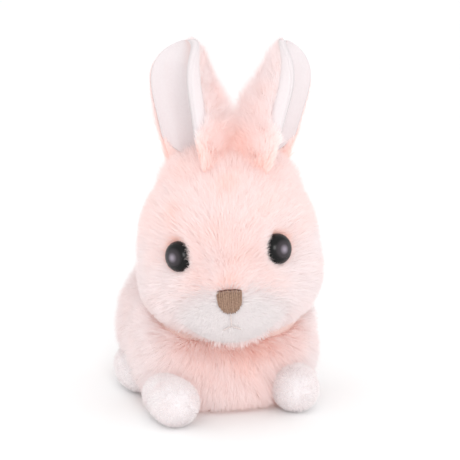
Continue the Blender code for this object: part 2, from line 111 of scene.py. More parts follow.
# Pile
HAIRS_IN_PIECE = 64000  # a coat is split so that no piece has more
HEAD_HAIRS = 190000
BODY_HAIRS = 180000
EAR_HAIRS = 40000
MUZZLE_HAIRS = 34000
PAW_HAIRS = 12000
FOOT_HAIRS = 10000
TAIL_HAIRS = 20000
FUR_LENGTH = 8.5 * MM
FUR_WIDTH = 0.26 * MM
PLUSH_LENGTH = 1.5 * MM
TAIL_LENGTH = 3.5 * MM
PLUSH_WIDTH = 0.24 * MM
FUZZ_WIDTH = 0.13 * MM
HAIR_ROUGHNESS = 0.85
HAIR_SPECULAR = 0.15
HAIR_SHEEN = 0.15
SHEEN_ROUGHNESS = 0.6
LET_THROUGH = 0.45  # the share of the light on a hair that passes through it
HAIR_BEND = 0.45  # how far along it a hair is bent
BEND_WIDTH = 0.8  # its width there, as a share of the width at its root
BLADE_U = 0.006  # half the width that a hair has in its UV layer
ROOT_LIFT = 0.5  # how far the lower part of a pink hair rises from the lay
TIP_LIFT = 0.28
STAND = 0.4  # how much further the few hairs that stand up rise
NORMAL_BLEND = 0.9  # how far a hair is shaded as part of the coat and not on its own
ROOT_DEPTH = 2.4 * MM  # the fur's backing lies this far inside the solid's surface
ROOT_START = ROOT_DEPTH - 0.2 * MM  # and its hairs start just outside the backing
PILE_HEIGHT = 3.6 * MM  # no tip stands higher over the solid's surface
RUFF_HEIGHT = 6.0 * MM  # but for the hairs beside an eye, an ear and the neck: this much more
FLOOR_CLEARANCE = 0.25 * MM

# Studio
WORLD_STRENGTH = 1.1
LIGHT_AT = (-0.10, -0.80, 0.34)
LIGHT_TARGET = (0, 0, 0.07)
LIGHT_SIZE = (0.24, 0.30)
LIGHT_POWER = 2.0
FLOOR_HALF_SIZE = 20.0
FLOOR_COLOUR = (0.93, 0.93, 0.93)
CAMERA_AZIMUTH = math.radians(-15)
CAMERA_ELEVATION = math.radians(10.5)
CAMERA_DISTANCE = 0.6
CAMERA_TARGET = Vector((-2, -10, 73.2)) * MM
CAMERA_LENS = 117.4


def ball(x, y, z, rx, ry, rz):
    """One lump of stuffing: its centre and its radii, in millimetres."""
    return np.array([x, y, z]) * MM, np.array([rx, ry, rz]) * MM


def both_sides(x, y, z, rx, ry, rz):
    """The same lump on both sides of the middle."""
    return [ball(x, y, z, rx, ry, rz), ball(-x, y, z, rx, ry, rz)]


HEAD_LUMPS = [
    ball(0, 3, 5, 33, 30, 31),  # skull
    ball(0, -8, 5, 24, 24, 25),  # forehead
    *both_sides(14, -2, -11, 20, 22, 19),  # cheeks
    *both_sides(7, -24, -20, 11, 10, 9),  # muzzle
    ball(0, -23, -12, 8, 11, 11),  # bridge of the nose
    ball(0, -18, -26, 10, 10, 7),  # chin
]
BODY_LUMPS = [
    ball(0, 3, 18, 31, 20, 20),  # chest
    ball(0, -3, 9, 23, 17, 10),  # foot of the chest
    *both_sides(17, 7, 21, 18, 19, 22),  # shoulders
    ball(0, 20, 23, 34, 30, 27),  # belly
    ball(0, 36, 27, 34, 26, 29),  # rump
    *both_sides(17, 33, 27, 18, 22, 24),  # haunches
    ball(0, 2, 35, 25, 18, 12),  # neck
]


# ---------------------------------------------------------------- vectors


def unit(vectors):
    return vectors / np.maximum(np.linalg.norm(vectors, axis=-1, keepdims=True), TINY)


def along(vectors, normals):
    """The vectors laid flat on the surface that has these normals, at unit length."""
    flat = vectors - normals * np.sum(vectors * normals, axis=-1, keepdims=True)
    return unit(flat)


def place(points, matrix):
    """The points moved by a 4 by 4 matrix."""
    m = np.array(matrix)
    return points @ m[:3, :3].T + m[:3, 3]


def turn(vectors, matrix):
    return vectors @ np.array(matrix)[:3, :3].T


def waves(points, size, seed):
    """A smooth vector field that changes over about this size, from a few sine waves."""
    rng = np.random.default_rng(seed)
    count = 10
    across = unit(rng.normal(size=(count, 3))) * rng.uniform(0.6, 1.5, (count, 1))
    phase = rng.uniform(0, 2 * math.pi, count)
    push = rng.normal(size=(count, 3))
    return np.sin(points @ across.T * 2 * math.pi / size + phase) @ push / math.sqrt(count)


def fade(values, low, high):
    """0 up to low, 1 from high on, and smooth between."""
    t = np.clip((values - low) / (high - low), 0, 1)
    return t * t * (3 - 2 * t)


# ---------------------------------------------------------------- forms


def depth(points, lumps, melt):
    """Below zero inside the melted lumps, and about the distance to them outside."""
    total = 0
    for centre, radii in lumps:
        share = np.linalg.norm((points - centre) / radii, axis=-1) - 1
        total = total + np.exp(np.minimum(-share * radii.min() / melt, MAX_EXPONENT))
    return -melt * np.log(total + TINY)


def surface(directions, middle, lumps, melt=MELT):
    """The points of the melted lumps' skin in these directions from the middle."""
    low = np.zeros(len(directions))
    high = np.full(len(directions), FAR)
    for _ in range(BISECTIONS):
        half = (low + high) / 2
        inside = depth(middle + directions * half[:, None], lumps, melt) < 0
        low = np.where(inside, half, low)
        high = np.where(inside, high, half)
    return middle + directions * low[:, None]


def slope(points, lumps, melt=MELT):
    """The outward normals of the melted lumps at these points."""
    step = 0.2 * MM
    shifts = np.eye(3) * step
    parts = [
        depth(points + shift, lumps, melt) - depth(points - shift, lumps, melt)
        for shift in shifts
    ]
    return unit(np.stack(parts, axis=-1))


def sphere(detail):
    """The vertices and triangles of a round ball."""
    bm = bmesh.new()
    bmesh.ops.create_icosphere(bm, subdivisions=detail, radius=1)
    points = np.array([v.co[:] for v in bm.verts])
    faces = np.array([[v.index for v in f.verts] for f in bm.faces])
    bm.free()
    return unit(points), faces


def spread(points, faces, count, rng):
    """Places scattered evenly over a mesh."""
    a, b, c = (points[faces[:, i]] for i in range(3))
    areas = np.linalg.norm(np.cross(b - a, c - a), axis=1)
    picks = rng.choice(len(faces), count, p=areas / areas.sum())
    u, v = rng.random((2, count))
    over = u + v > 1
    u[over], v[over] = 1 - u[over], 1 - v[over]
    return a[picks] + (b - a)[picks] * u[:, None] + (c - a)[picks] * v[:, None]


# ---------------------------------------------------------------- materials


def shader_of(material):
    return material.node_tree.nodes["Principled BSDF"]


def plain(name, colour, roughness, **inputs):
    """A material of one colour. inputs are the shader's others, with _ for each space."""
    material = bpy.data.materials.new(name)
    material.use_nodes = True
    shader = shader_of(material)
    shader.inputs["Base Color"].default_value = (*colour, 1)
    shader.inputs["Roughness"].default_value = roughness
    for key, value in inputs.items():
        shader.inputs[key.replace("_", " ")].default_value = value
    return material


def ramp(tree, stops):
    """A colour ramp with these stops, each a position and a colour."""
    node = tree.nodes.new("ShaderNodeValToRGB")
    node.color_ramp.interpolation = "EASE"
    elements = node.color_ramp.elements
    while len(elements) < len(stops):
        elements.new(0.5)
    for element, (position, colour) in zip(elements, stops):
        element.position = position
        element.color = (*colour, 1)
    return node


def map_uv(tree):
    """The outputs that carry U, as X, and V, as Y."""
    uv = tree.nodes.new("ShaderNodeUVMap")
    uv.uv_map = "OFBake"
    split = tree.nodes.new("ShaderNodeSeparateXYZ")
    tree.links.new(uv.outputs["UV"], split.inputs[0])
    return split.outputs


def multiply(tree, one, other):
    """The output that carries the product of two colours."""
    mix = tree.nodes.new("ShaderNodeMix")
    mix.data_type = "RGBA"
    mix.blend_type = "MULTIPLY"
    mix.inputs["Factor"].default_value = 1
    tree.links.new(one, mix.inputs[6])  # its colour sockets: A, B and the result
    tree.links.new(other, mix.inputs[7])
    return mix.outputs[2]


def hair_material(name, tones, root_tint, root_end, glow):
    """Hair whose tone runs with U and whose shade runs with V, from its root to its tip. The
    glow stands in for light that many hairs scatter on to each other."""
    material = plain(name, (1, 1, 1), HAIR_ROUGHNESS, Sheen_Weight=HAIR_SHEEN,
                     Sheen_Roughness=SHEEN_ROUGHNESS, Specular_IOR_Level=HAIR_SPECULAR,
                     Emission_Color=(*glow, 1), Emission_Strength=1)
    tree = material.node_tree
    shader = shader_of(material)
    tone = ramp(tree, tones)
    shade = ramp(tree, [(0.0, root_tint), (root_end, (1, 1, 1))])
    link = tree.links.new
    parts = map_uv(tree)
    link(parts["X"], tone.inputs[0])
    link(parts["Y"], shade.inputs[0])
    colour = multiply(tree, tone.outputs[0], shade.outputs[0])
    link(colour, shader.inputs["Base Color"])
    through = tree.nodes.new("ShaderNodeBsdfTranslucent")
    blend = tree.nodes.new("ShaderNodeMixShader")
    blend.inputs[0].default_value = LET_THROUGH
    link(colour, through.inputs["Color"])
    link(shader.outputs[0], blend.inputs[1])
    link(through.outputs[0], blend.inputs[2])
    link(blend.outputs[0], tree.nodes["Material Output"].inputs["Surface"])
    return material


def cloth_material(name, light, dark, size, bump):
    """Short cloth with a fine uneven nap."""
    material = plain(name, light, 1.0, Sheen_Weight=0.2, Specular_IOR_Level=0.1)
    tree = material.node_tree
    place_in = tree.nodes.new("ShaderNodeTexCoord")
    nap = tree.nodes.new("ShaderNodeTexNoise")
    nap.inputs["Scale"].default_value = 1 / size
    nap.inputs["Detail"].default_value = 4
    colours = ramp(tree, [(0.3, dark), (0.65, light)])
    lift = tree.nodes.new("ShaderNodeBump")
    lift.inputs["Strength"].default_value = bump
    lift.inputs["Distance"].default_value = 0.3 * MM
    link = tree.links.new
    link(place_in.outputs["Object"], nap.inputs["Vector"])
    link(nap.outputs[0], colours.inputs[0])
    link(colours.outputs[0], shader_of(material).inputs["Base Color"])
    link(nap.outputs[0], lift.inputs["Height"])
    link(lift.outputs[0], shader_of(material).inputs["Normal"])
    return material


def lining_material():
    """Short silky nap, with painted shade, a pinker colour, along the fold, which U crosses at 0.71.
    """
    material = cloth_material("lining", (0.74, 0.68, 0.69), (0.73, 0.665, 0.675), 0.9 * MM, 0.15)
    tree = material.node_tree
    # painted shade: the lining is pinker along its fold, where shade falls
    painted_fold_shade = ramp(tree, [(0.3, (1, 1, 1)), (0.71, (0.98, 0.84, 0.81)), (0.8, (1, 1, 1))])
    tree.links.new(map_uv(tree)["X"], painted_fold_shade.inputs[0])
    base = shader_of(material).inputs["Base Color"]
    nap = base.links[0].from_socket
    tree.links.new(multiply(tree, nap, painted_fold_shade.outputs[0]), base)
    return material


def eye_material():
    """Black plastic, with a soft highlight painted on as greyer colour at its middle, where U is 1.
    """
    material = plain("eye_gloss", (0, 0, 0), 0.24, Specular_IOR_Level=0.22)
    tree = material.node_tree
    # painted highlight: a soft grey glint painted into the base colour, brightest at the middle
    painted_highlight = ramp(tree, [(0.3, (0.002, 0.002, 0.002)), (0.6, (0.04, 0.033, 0.038)),
                         (1.0, (0.3, 0.26, 0.31))])
    tree.links.new(map_uv(tree)["X"], painted_highlight.inputs[0])
    tree.links.new(painted_highlight.outputs[0], shader_of(material).inputs["Base Color"])
    return material


PINK_TONES = [
    (0.0, (0.94, 0.56, 0.46)),
    (0.35, (0.95, 0.75, 0.70)),
    (0.7, (0.935, 0.855, 0.85)),
    (1.0, (0.895, 0.865, 0.875)),
]
WHITE_TONES = [(0.0, (0.88, 0.80, 0.80)), (0.5, (0.90, 0.86, 0.86)), (1.0, (0.92, 0.90, 0.90))]
PINK_ROOTS = (1.0, 0.93, 0.91)
WHITE_ROOTS = (0.97, 0.93, 0.93)
LOOKS = {
    "pink_hair": hair_material("pink_hair", PINK_TONES, PINK_ROOTS, 0.7, (0.115, 0.068, 0.056)),
    "ear_hair": hair_material("ear_hair", PINK_TONES, PINK_ROOTS, 0.7, (0.205, 0.168, 0.156)),
    "white_hair": hair_material("white_hair", WHITE_TONES, WHITE_ROOTS, 0.6, (0.045, 0.042, 0.042)),
    "pink_backing": cloth_material("pink_backing", (0.93, 0.76, 0.71), (0.90, 0.70, 0.65),
                                   1.5 * MM, 0.5),
    "white_backing": cloth_material("white_backing", (0.79, 0.75, 0.76), (0.77, 0.72, 0.73),
                                    1.2 * MM, 0.15),
    "lining": lining_material(),
    "thread": cloth_material("thread", (0.37, 0.24, 0.175), (0.22, 0.135, 0.095), 0.5 * MM, 0.5),
    "dark_thread": cloth_material("dark_thread", (0.16, 0.075, 0.055), (0.09, 0.04, 0.03),
                                  0.5 * MM, 0.5),
    "mouth": cloth_material("mouth_thread", (0.70, 0.61, 0.59), (0.62, 0.53, 0.51), 0.5 * MM, 0.3),
    "eye": eye_material(),
}


# ---------------------------------------------------------------- pieces


def mesh_piece(name, points, faces, look, body, uv=None):
    """A smooth piece on a body. uv, one pair a vertex, is for a look that follows the shape."""
    mesh = bpy.data.meshes.new(name)
    mesh.from_pydata(points.tolist(), [], faces.tolist())
    mesh.update()
    mesh.shade_smooth()
    if uv is not None:
        layer = mesh.uv_layers.new(name="OFBake")
        layer.data.foreach_set("uv", uv[faces.reshape(-1)].reshape(-1))
    mesh.materials.append(LOOKS[look])
    obj = bpy.data.objects.new(name, mesh)
    bpy.context.scene.collection.objects.link(obj)
    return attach(obj, body)


def hair_piece(name, roots, bends, tips, out, radius, tones, look, body):
    """Tapered hairs, each a bent flat blade that faces out of the coat."""
    count = len(roots)
    first, last = unit(bends - roots), unit(tips - bends)
    side = unit(np.cross(first, out) + 0.15 * np.cross(last, out)) * radius[:, None]
    narrow = side * BEND_WIDTH
    points = np.stack([roots - side, roots + side, bends - narrow, bends + narrow, tips], axis=1)
    one = np.array([[0, 1, 3], [0, 3, 2], [2, 3, 4]])
    faces = (one[None] + 5 * np.arange(count)[:, None, None]).reshape(-1, 3)
    mesh = bpy.data.meshes.new(name)
    mesh.vertices.add(count * 5)
    mesh.vertices.foreach_set("co", points.reshape(-1))
    mesh.loops.add(len(faces) * 3)
    mesh.loops.foreach_set("vertex_index", faces.reshape(-1))
    mesh.polygons.add(len(faces))
    mesh.polygons.foreach_set("loop_start", np.arange(0, len(faces) * 3, 3))
    mesh.polygons.foreach_set("use_smooth", np.ones(len(faces), dtype=bool))
    uv = np.empty((count, 5, 2))
    uv[:, :, 0] = np.clip(tones, 2 * BLADE_U, 1 - 2 * BLADE_U)[:, None]
    uv[:, :, 0] += np.array([-BLADE_U, BLADE_U, -BLADE_U, BLADE_U, 0])
    uv[:, :, 1] = np.array([0.01, 0.01, 0.5, 0.5, 0.99])
    layer = mesh.uv_layers.new(name="OFBake")
    layer.data.foreach_set("uv", uv.reshape(-1, 2)[faces.reshape(-1)].reshape(-1))
    mesh.update()
    flat = unit(np.cross(side, first))
    share = NORMAL_BLEND * (1 - fade(np.sum(first * out, axis=1), 0.6, 0.97))[:, None]
    facing = unit(out * share + flat * (1 - share))
    mesh.normals_split_custom_set_from_vertices(np.repeat(facing, 5, axis=0))
    mesh.materials.append(LOOKS[look])
    obj = bpy.data.objects.new(name, mesh)
    bpy.context.scene.collection.objects.link(obj)
    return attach(obj, body)


def settle(points, lumps, matrix, height):
    """The points lowered to this height above the skin of the lumps where they stand higher."""
    local = place(points, matrix.inverted())
    down = np.maximum(depth(local, lumps, MELT) - height, 0)
    return place(local - slope(local, lumps) * down[:, None], matrix)


def coat(name, roots, normals, lay, length, width, tones, look, body, rng, lift,
         clump=0.11, limit=None):
    """A pile of hairs, split into pieces. lift is how far the lower part and the tip of a hair
    rise from the lay, and clump how far hairs gather in locks. limit is what settle needs."""
    count = len(roots)
    length = length * rng.uniform(0.7, 1.08, count)
    stray = rng.normal(size=(count, 3)) * 0.1
    locks = waves(roots, 5.5 * MM, SEED + 1) * clump + waves(roots, 2.2 * MM, SEED + 2) * clump / 2
    rise = (rng.random(count) ** 2 * STAND)[:, None]
    near, far = (np.broadcast_to(share, count)[:, None] for share in lift)
    low = unit(normals * (near + rise) + lay * (1.1 - near) + stray + locks * 0.5)
    high = unit(normals * (far + rise) + lay * (1.1 - far) + stray * 1.4 + locks)
    bends = roots + low * length[:, None] * HAIR_BEND
    tips = bends + high * length[:, None] * (1 - HAIR_BEND)
    if limit:
        tips = settle(tips, *limit)
    for ends in (bends, tips):
        ends[:, 2] = np.maximum(ends[:, 2], FLOOR_CLEARANCE)
    radius = width / 2 * rng.uniform(0.75, 1.2, count)
    tones = np.clip(tones + rng.normal(size=count) * 0.05, 0, 1)
    order = np.argsort(np.arctan2(roots[:, 0] - roots[:, 0].mean(),
                                  roots[:, 1] - roots[:, 1].mean()))
    parts = math.ceil(count / HAIRS_IN_PIECE)
    for i, picked in enumerate(np.array_split(order, parts)):
        label = name if parts == 1 else f"{name}_{i + 1}"
        piece = hair_piece(label, roots[picked], bends[picked], tips[picked], normals[picked],
                           radius[picked], tones[picked], look, body)


# ---------------------------------------------------------------- head


def head_point(x, z):
    """The point on the front of the head's skin at this x and z, in the head's frame."""
    near, far = 0.0, FAR
    for _ in range(BISECTIONS):
        half = (near + far) / 2
        if depth(np.array([[x, -half, z]]), HEAD_LUMPS, MELT)[0] < 0:
            near = half
        else:
            far = half
    return np.array([x, -near, z])


def eye_frame(name):
    """The eye's place on the skin in the head's frame, with its own +Z out along its axis."""
    azimuth, flat = EYE_AZIMUTH[name], math.cos(EYE_ELEVATION)
    out = Vector((math.sin(azimuth) * flat, -math.cos(azimuth) * flat, math.sin(EYE_ELEVATION)))
    skin = surface(np.array(out)[None], np.zeros(3), HEAD_LUMPS)[0]
    across = out.to_track_quat("Z", "Y").to_matrix().to_4x4()
    return Matrix.Translation(Vector(skin) - out * EYE_SINK) @ across


def in_muzzle(points):
    """Below 1 inside the white muzzle patch."""
    return np.linalg.norm((points - MUZZLE_CENTRE) / MUZZLE_RADII, axis=-1)


def above_neck(points, gap):
    """World points pushed up on to the neck seam where they are below it."""
    under = np.minimum((points - NECK_POINT) @ NECK_NORMAL - gap, 0)
    return points - under[:, None] * NECK_NORMAL


def below_neck(points, gap):
    over = np.maximum((points - NECK_POINT) @ NECK_NORMAL + gap, 0)
    return points - over[:, None] * NECK_NORMAL


def head_lay(points, normals):
    """Fur on the head runs away from the nose, and hangs a little on the sides and back."""
    nose = np.array([0, -38, -14]) * MM
    away = along(points - nose, normals)
    hang = along(np.array([0, 0.3, -1.0]) + 0 * normals, normals)
    back = fade(points[:, 1], -22 * MM, 12 * MM)[:, None]
    rear = fade(points[:, 1], -8 * MM, 14 * MM)[:, None]
    return unit(away * (1 - 0.85 * rear) + hang * (0.12 + 0.6 * back))


def eyelid(points, eye, nose):
    """How far the skin swells beside an eye, most of all on the side of the nose."""
    away = points - eye
    ring = np.exp(-(((np.linalg.norm(away, axis=1) - EYE_RADIUS - 2.2 * MM) / (2.0 * MM)) ** 2))
    inner = fade(unit(away) @ unit(nose - eye), -0.2, 0.8)
    return ring * (0.5 + 1.6 * inner) * MM


def head_backing(skin, normals, faces):
    """The cloth that the head's pink fur grows from."""
    backing = above_neck(place(skin - normals * ROOT_DEPTH, HEAD_FRAME), 0.4 * MM)
    head = mesh_piece("head_skin", backing, faces, "pink_backing", "head")
    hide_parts("head_gusset", "head_side_left", "head_side_right", "head_stuffing")


def muzzle_backing(skin, normals, faces):
    """The cloth under the white patch, with a groove below the nose."""
    patch = in_muzzle(skin)
    lifted = skin - normals * (ROOT_DEPTH - 1.5 * MM * (1 - fade(patch, 0.75, 1.05)))[:, None]
    groove = np.exp(-(skin[:, 0] / (0.9 * MM)) ** 2) * fade(NOSE_HEIGHT - skin[:, 2], 3 * MM, 6 * MM)
    lifted = lifted - normals * (groove * 0.7 * MM)[:, None]
    chosen = faces[(patch[faces] < 1.0).all(axis=1)]
    used, again = np.unique(chosen, return_inverse=True)
    muzzle = mesh_piece("muzzle_skin", above_neck(place(lifted[used], HEAD_FRAME), 0.3 * MM),
                        again.reshape(-1, 3), "white_backing", "head")
    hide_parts("muzzle_left", "muzzle_right")


def plot_hairs(skin, faces, count, eyes, nose, rng):
    """Places for hairs scattered over the head's skin, and how they lie to its features."""
    at = spread(skin, faces, count, rng)
    from_eyes = np.stack([np.linalg.norm(at - eye, axis=1) for eye in eyes])
    share = in_muzzle(at) + waves(at, 6 * MM, SEED + 3)[:, 0] * 0.03
    share += rng.normal(size=count) * MUZZLE_EDGE
    return {
        "at": at,
        "out": slope(at, HEAD_LUMPS),
        "from_eye": from_eyes.min(axis=0),
        "to_eye": unit(np.array(eyes)[from_eyes.argmin(axis=0)] - at),
        "from_nose": np.linalg.norm(at - nose, axis=1),
        "share": share,  # below 1 in the white patch
        "seam": (place(at, HEAD_FRAME) - NECK_POINT) @ NECK_NORMAL,  # how far above the neck
    }


def pick_hairs(plot, white):
    """Those of the places that are clear of eyes, nose and neck, in the patch or outside it."""
    clear = (plot["from_eye"] > EYE_RADIUS + 0.1 * MM) & (plot["from_nose"] > 4.2 * MM)
    if white:
        chosen = clear & (plot["share"] < 1.0) & (plot["seam"] > 3 * MM)
    else:
        chosen = clear & (plot["share"] > 1.0) & (plot["seam"] > 0.5 * MM)
    return {name: values[chosen] for name, values in plot.items()}


def head_lengths(plot, over, ruff):
    """How long the fur on the head is: shortest at the nose, longest at the ears and neck."""
    length = FUR_LENGTH * (0.45 + 0.55 * fade(plot["from_nose"], 8 * MM, 34 * MM))
    length *= 0.5 + 0.5 * fade(plot["from_eye"], 6 * MM, 12 * MM)
    length *= 1 + 0.3 * (1 - fade(plot["seam"], 2 * MM, 16 * MM))
    length = np.maximum(length, 5.0 * MM * over)
    return length * (1 + 0.25 * ruff)


def head_tones(plot, over, nose):
    """The tone of the fur on the head: pinker over the nose, with painted shade round the eyes and
    at the neck.
    """
    at = plot["at"]
    tones = 0.7 + 0.06 * waves(at, 14 * MM, SEED + 4)[:, 0]
    tones += 0.25 * fade(np.abs(at[:, 0]), 8 * MM, 26 * MM) * fade(-at[:, 2], -20 * MM, 8 * MM)
    # painted shade: the fur round each eye is deeper, as in the shade of its socket
    tones -= 0.4 * (1 - fade(plot["from_eye"], 6 * MM, 8 * MM)) * (1 - over)
    above = fade(at[:, 2] - nose[2], 0, 5 * MM)
    tones -= 0.2 * (1 - fade(plot["from_nose"], 5 * MM, 12 * MM)) * above
    tones += 0.2 * (1 - fade(plot["share"], 1.0, 1.5))
    # painted shade: the fur is deeper near the neck seam, in the crease under the head
    return tones - 0.1 * (1 - fade(plot["seam"], 2 * MM, 14 * MM))


def grow_head_fur(skin, faces, eyes, nose, rng):
    """The pink fur. Beside an eye it leans over the rim, and at an ear's foot it stands up."""
    plot = pick_hairs(plot_hairs(skin, faces, HEAD_HAIRS, eyes, nose, rng), False)
    at, out = plot["at"], plot["out"]
    lay = head_lay(at, out)
    beside = 1 - fade(plot["from_eye"], EYE_RADIUS + 0.5 * MM, EYE_RADIUS + 3.5 * MM)
    over = beside * fade(np.sum(lay * plot["to_eye"], axis=1), -0.1, 0.6)
    lay = unit(lay + plot["to_eye"] * (0.25 * beside + 0.5 * over)[:, None])
    from_ear = np.min([np.linalg.norm(at - foot, axis=1) for foot, _, _ in EARS.values()], axis=0)
    ruff = 1 - fade(from_ear, 14 * MM, 24 * MM)
    coat("head_fur", place(at - out * ROOT_START, HEAD_FRAME), turn(out, HEAD_FRAME),
         turn(lay, HEAD_FRAME), head_lengths(plot, over, ruff), FUR_WIDTH,
         head_tones(plot, over, nose), "pink_hair", "head", rng,
         lift=(ROOT_LIFT + 0.3 * over + 0.5 * ruff, TIP_LIFT + 0.12 * over + 0.6 * ruff),
         limit=(HEAD_LUMPS, HEAD_FRAME, PILE_HEIGHT + RUFF_HEIGHT * (over + ruff)))


def grow_muzzle_fur(skin, faces, eyes, nose, rng):
    """The short white fur of the patch, longer at its lower edge."""
    plot = pick_hairs(plot_hairs(skin, faces, MUZZLE_HAIRS * 9, eyes, nose, rng), True)
    at, out = plot["at"][:MUZZLE_HAIRS], plot["out"][:MUZZLE_HAIRS]
    patch = in_muzzle(at)
    length = 1.5 * MM + 3.0 * MM * fade(patch, 0.6, 1.0) * fade(at[:, 2], -29 * MM, -20 * MM)
    coat("muzzle_fur", place(at - out * 1.0 * MM, HEAD_FRAME), turn(out, HEAD_FRAME),
         turn(head_lay(at, out), HEAD_FRAME), length, PLUSH_WIDTH * 1.2,
         0.6 - 0.3 * fade(patch, 0.8, 1.0), "white_hair", "head", rng,
         lift=(0.45, 0.3), clump=0.08)


def build_head():
    rng = np.random.default_rng(SEED)
    ways, faces = sphere(6)
    skin = surface(ways, np.zeros(3), HEAD_LUMPS)
    normals = slope(skin, HEAD_LUMPS)
    eyes = [np.array(eye_frame(name).translation) for name in EYE_AZIMUTH]
    nose = head_point(0, NOSE_HEIGHT)
    skin = skin + normals * sum(eyelid(skin, eye, nose) for eye in eyes)[:, None]
    head_backing(skin, normals, faces)
    muzzle_backing(skin, normals, faces)
    grow_head_fur(skin, faces, eyes, nose, rng)
    grow_muzzle_fur(skin, faces, eyes, nose, rng)
    build_eyes()
    build_nose()
    build_top_stitch()
    build_mouth()


def build_eyes():
    """Domed plastic eyes."""
    rings, sides = 24, 64
    for name in EYE_AZIMUTH:
        heights = np.linspace(0, math.pi / 2, rings)
        profile = [(0.0, -0.3 * MM), (EYE_RADIUS * 0.98, -0.3 * MM), (EYE_RADIUS, 0.0)]
        profile += [
            (EYE_RADIUS * math.cos(a), EYE_FLANGE + EYE_HEIGHT * math.sin(a)) for a in heights[:-1]
        ]
        angles = np.arange(sides) * 2 * math.pi / sides
        flat = [[r * math.cos(a), r * math.sin(a), z] for r, z in profile[1:] for a in angles]
        flat += [[0, 0, profile[0][1]], [0, 0, EYE_FLANGE + EYE_HEIGHT]]
        points = place(np.array(flat), HEAD_FRAME @ eye_frame(name))
        loops = len(profile) - 1
        faces = []
        for i in range(loops - 1):
            for j in range(sides):
                k = (j + 1) % sides
                a, b = i * sides + j, i * sides + k
                faces += [[a, b, b + sides], [a, b + sides, a + sides]]
        low, top = loops * sides, loops * sides + 1
        last = (loops - 1) * sides
        for j in range(sides):
            k = (j + 1) % sides
            faces += [[low, k, j], [top, last + j, last + k]]
        middle = [1 - math.hypot(x, y) / EYE_RADIUS for x, y, _ in flat]
        turned = [math.atan2(y, x) / (2 * math.pi) + 0.5 for x, y, _ in flat]
        uv = np.stack([middle, turned], axis=-1) * 0.98 + 0.01
        eye = mesh_piece(f"eye_{name}_dome", points, np.array(faces), "eye", "head", uv)
        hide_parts(f"eye_{name}")


def tube(points, radius, sides=8, taper=0.6):
    """A round thread through the points, which thins at its ends: vertices and triangles."""
    points = np.array(points)
    ahead = unit(np.gradient(points, axis=0))
    side = unit(np.cross(ahead, np.array([0.3, 1.0, 0.2])))
    other = np.cross(ahead, side)
    steps = np.linspace(-1, 1, len(points))
    thick = radius * (taper + (1 - taper) * (1 - steps ** 6))
    angles = np.arange(sides) * 2 * math.pi / sides
    rings = (
        points[:, None]
        + thick[:, None, None]
        * (side[:, None] * np.cos(angles)[:, None] + other[:, None] * np.sin(angles)[:, None])
    )
    vertices = np.concatenate([rings.reshape(-1, 3), points[:1], points[-1:]])
    faces = []
    for i in range(len(points) - 1):
        for j in range(sides):
            k = (j + 1) % sides
            a, b = i * sides + j, i * sides + k
            faces += [[a, a + sides, b + sides], [a, b + sides, b]]
    last = (len(points) - 1) * sides
    for j in range(sides):
        k = (j + 1) % sides
        faces += [[len(vertices) - 2, j, k], [len(vertices) - 1, last + k, last + j]]
    return vertices, np.array(faces)


def gather(shapes):
    """Several shapes as one set of vertices and triangles."""
    points, faces, base = [], [], 0
    for vertices, triangles in shapes:
        points.append(vertices)
        faces.append(triangles + base)
        base += len(vertices)
    return np.concatenate(points), np.concatenate(faces)


def build_nose():
    """Satin stitches side by side, with a flat top and a round foot."""
    threads = 12
    shapes = []
    for i in range(threads):
        t = 2 * i / (threads - 1) - 1
        top = NOSE_HALF_HEIGHT * (0.92 - 0.1 * t * t + 0.05 * (i % 2))
        foot = -NOSE_HALF_HEIGHT * (1 - 0.55 * abs(t) ** 3) * (1 - 0.05 * (i % 2))
        line = []
        for s in np.linspace(0, 1, 12):
            z = top + (foot - top) * s
            x = NOSE_HALF_WIDTH * t * (1 - 0.14 * s * s)
            bulge = 1.5 * MM * math.sqrt(max(0.02, 1 - 0.8 * t * t))
            bulge *= math.sin(math.pi * (0.1 + 0.8 * s))
            dent = 0.5 * MM * math.exp(-((t / 0.12) ** 2)) - 0.15 * MM * (i % 2)
            line.append(head_point(x, NOSE_HEIGHT + z) - np.array([0, bulge - dent, 0]))
        shapes.append(tube(line, 0.47 * MM))
    points, faces = gather(shapes)
    nose = mesh_piece("nose_stitches", place(points, HEAD_FRAME), faces, "thread", "head")
    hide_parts("nose_embroidery")


def build_top_stitch():
    """A dark stitch along the top of the nose."""
    line = [
        head_point(x, NOSE_HEIGHT + NOSE_HALF_HEIGHT * (0.98 - 0.12 * (x / NOSE_HALF_WIDTH) ** 2))
        - np.array([0, 0.5 * MM + 0.25 * MM * math.sin(9 * x / NOSE_HALF_WIDTH), 0])
        for x in np.linspace(-1.02, 1.02, 24) * NOSE_HALF_WIDTH
    ]
    points, faces = tube(line, 0.28 * MM)
    brow = mesh_piece("nose_top_stitch", place(points, HEAD_FRAME), faces, "dark_thread", "head")
    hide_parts("nose_embroidery")


def build_mouth():
    """The stitched mouth: a line down from the nose that parts to both sides."""
    foot = NOSE_HEIGHT - NOSE_HALF_HEIGHT - 5.4 * MM
    top = NOSE_HEIGHT - NOSE_HALF_HEIGHT + 0.3 * MM
    strokes = {
        "centre": [(0, top + (foot - top) * s) for s in np.linspace(0, 1, 10)],
        "left": [(3.4 * MM * s, foot - 1.5 * MM * s ** 1.5) for s in np.linspace(0.1, 1, 8)],
        "right": [(-3.4 * MM * s, foot - 1.5 * MM * s ** 1.5) for s in np.linspace(0.1, 1, 8)],
    }
    for name, line in strokes.items():
        raised = [head_point(x, z) - np.array([0, 0.3 * MM, 0]) for x, z in line]
        points, faces = tube(raised, 0.26 * MM)
        piece = mesh_piece(f"mouth_thread_{name}", place(points, HEAD_FRAME), faces, "mouth", "head")
        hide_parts(f"mouth_stitch_{name}")


# ---------------------------------------------------------------- ears


